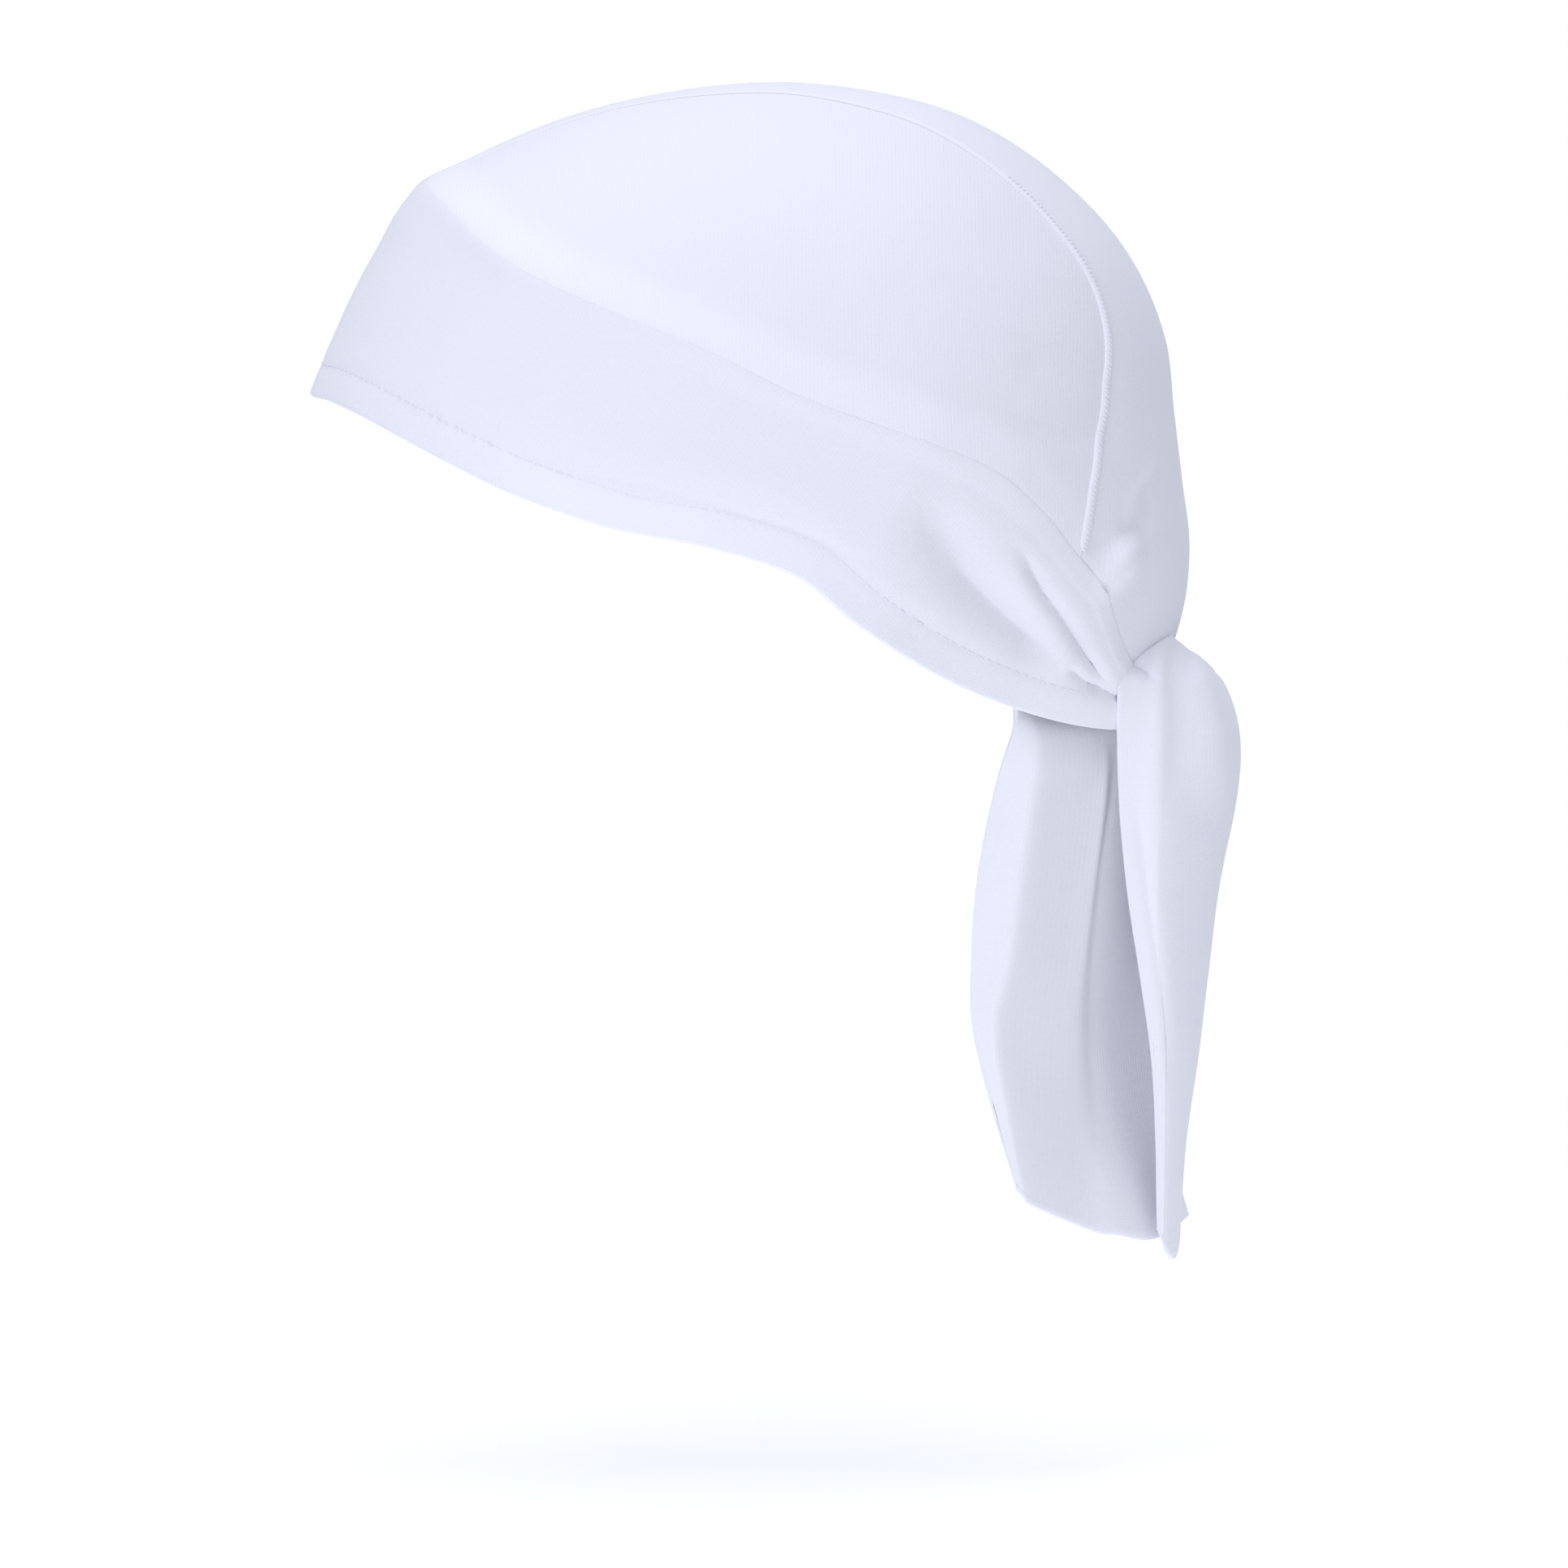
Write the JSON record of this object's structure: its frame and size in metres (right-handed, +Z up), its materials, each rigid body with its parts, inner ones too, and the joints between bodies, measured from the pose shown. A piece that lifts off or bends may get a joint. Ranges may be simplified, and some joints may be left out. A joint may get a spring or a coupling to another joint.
{
  "type": "skull cap",
  "caption": "Knit tie-back skull cap: a broad brow band below a seamed, panelled crown, gathered into a knot at the nape with flat tie ends hanging below the rim.",
  "frame": {"origin": "inside of the crown's highest point, where the cap sits on a head", "axes": "+Z up as worn, the forehead at -Y, the knot and the ties at +Y, the wearer's left at +X"},
  "size_m": [0.1572, 0.2164, 0.2742],
  "materials": {
    "knit": "matt fine knit"
  },
  "bodies": {
    "root": {"brow_band": "knit", "side_panel_left": "knit", "side_panel_right": "knit", "centre_panel": "knit", "knot": "knit", "tail_over": "knit", "tail_under": "knit"}
  },
  "joints": []
}
